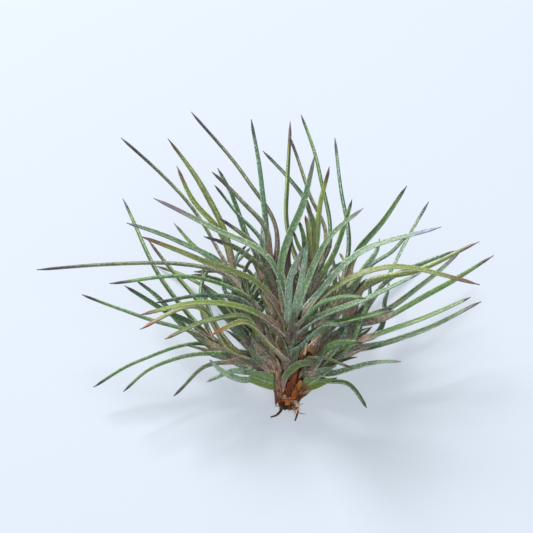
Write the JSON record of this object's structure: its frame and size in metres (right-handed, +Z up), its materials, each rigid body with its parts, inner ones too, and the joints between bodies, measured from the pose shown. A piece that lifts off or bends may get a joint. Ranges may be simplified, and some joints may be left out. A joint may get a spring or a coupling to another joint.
{
  "type": "air plant clump",
  "caption": "Unpotted air plant: narrow channelled silvery green leaves in short shoots that fan out from one broken woody stem, lying on the stem's end and two back leaf tips.",
  "frame": {"origin": "on the small flat spot under the stem's broken end, on the surface that the plant lies on", "axes": "+Z up from that surface, +X to the plant's right as seen from the stem's broken end, along its longest extent, +Y the way that the fan of leaves leans back"},
  "size_m": [0.1162, 0.0703, 0.0557],
  "materials": {
    "stem": "matte",
    "dead_sheath": "matte",
    "leaf": "satin"
  },
  "bodies": {
    "root": {"stem": "stem", "dead_sheaths": "dead_sheath", "shoot_front": "leaf", "shoot_left_front": "leaf", "shoot_left_low": "leaf", "shoot_left_mid": "leaf", "shoot_left_high": "leaf", "shoot_top_left": "leaf", "shoot_top": "leaf", "shoot_right_high": "leaf", "shoot_right_mid": "leaf", "shoot_right_low": "leaf", "shoot_right_front": "leaf", "shoot_back_left": "leaf", "shoot_back_right": "leaf", "shoot_back": "leaf"}
  },
  "joints": []
}
